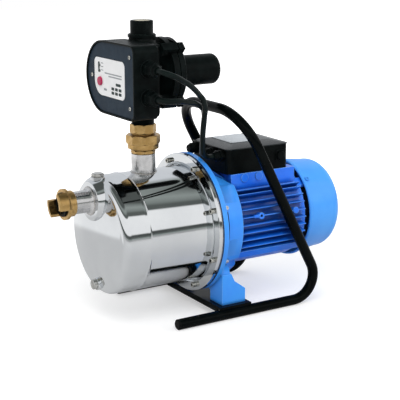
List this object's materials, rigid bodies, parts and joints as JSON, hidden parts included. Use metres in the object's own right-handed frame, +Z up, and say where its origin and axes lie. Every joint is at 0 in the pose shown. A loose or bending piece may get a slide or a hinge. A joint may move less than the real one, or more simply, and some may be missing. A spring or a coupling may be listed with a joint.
{
  "type": "booster pump",
  "caption": "Self-priming jet pump with a polished steel casing, finned motor, pressure controller on the discharge and a bent tube carrying frame.",
  "frame": {"origin": "on the floor, at the middle of the bounding box without the two leads", "axes": "+X from the suction port to the fan along the pump axis, +Z up, Y across"},
  "size_m": [0.468, 0.2319, 0.4405],
  "materials": {
    "polished_steel": "polished stainless",
    "steel_pipe": "satin stainless",
    "plug_steel": "satin stainless",
    "brass_fitting": "machined",
    "black_rubber": "matte",
    "zinc_screws": "zinc plated",
    "plain_steel": "machined",
    "moulded_hydraulics": "moulded",
    "impeller_brass": "machined",
    "seal_ceramic": "lapped",
    "blue_enamel": "gloss paint",
    "laminations": "plain",
    "copper_winding": "lacquered",
    "fan_plastic": "moulded",
    "cover_blue": "gloss paint",
    "box_black": "moulded",
    "lid_grey": "moulded",
    "strip_cream": "moulded",
    "controller_black": "fine texture",
    "slate_cover": "satin",
    "label_white": "printed film",
    "button_magenta": "satin",
    "lens_green": "clear",
    "board_green": "lacquered",
    "valve_plastic": "moulded",
    "spring_steel": "plain",
    "lead_sheath": "matte",
    "frame_black": "gloss powder coat",
    "cap_black": "moulded"
  },
  "bodies": {
    "pump": {"pump_casing": "polished_steel", "suction_stub": "steel_pipe", "discharge_stub": "steel_pipe", "filler_plug": "plug_steel", "drain_plug": "plug_steel", "suction_coupling": "brass_fitting", "coupling_seal": "black_rubber", "union_nipple": "brass_fitting", "union_nut": "brass_fitting", "union_tail": "brass_fitting", "clamp_ring": "polished_steel", "casing_gasket": "black_rubber", "flange_screws": "zinc_screws", "seal_plate": "plain_steel", "ejector": "moulded_hydraulics", "diffuser": "moulded_hydraulics", "shaft_seal_seat": "seal_ceramic", "bracket": "blue_enamel", "bracket_screws": "zinc_screws", "motor_housing": "blue_enamel", "stator_core": "laminations", "stator_windings": "copper_winding", "front_bearing": "plain_steel", "rear_bearing": "plain_steel", "end_shield": "blue_enamel", "tie_rods": "zinc_screws", "fan_cover": "cover_blue", "fan_cover_screws": "zinc_screws", "terminal_box": "box_black", "terminal_lid": "lid_grey", "terminal_block": "strip_cream", "terminal_glands": "box_black", "blank_plug": "box_black", "controller_body": "controller_black", "controller_cover": "slate_cover", "controller_label": "label_white", "status_lenses": "lens_green", "cover_screws": "zinc_screws", "control_board": "board_green", "membrane": "black_rubber", "pressure_spring": "spring_steel", "spring_housing": "controller_black", "spring_housing_screws": "zinc_screws", "controller_glands": "controller_black", "upper_lead": "lead_sheath", "lower_lead": "lead_sheath", "carry_frame": "frame_black", "frame_bar": "frame_black", "foot_screws": "zinc_screws", "tube_caps": "cap_black"},
    "rotor": {"shaft": "plain_steel", "rotor_core": "laminations", "cooling_fan": "fan_plastic", "impeller": "impeller_brass", "impeller_nut": "zinc_screws", "shaft_seal_ring": "black_rubber"},
    "button": {"reset_button": "button_magenta"},
    "valve": {"flow_valve": "valve_plastic"}
  },
  "joints": [
    {"name": "rotor_spin", "type": "hinge", "parent": "pump", "child": "rotor", "pos_m": [0, 0, 0.132], "axis": [1, 0, 0], "continuous": true},
    {"name": "reset_press", "type": "slide", "parent": "pump", "child": "button", "axis": [1, 0, 0], "range_m": [0, 0.002], "stiffness_N_per_m": 400, "springref_m": -0.0005},
    {"name": "valve_lift", "type": "slide", "parent": "pump", "child": "valve", "axis": [0, 0, 1], "range_m": [0, 0.009]}
  ]
}
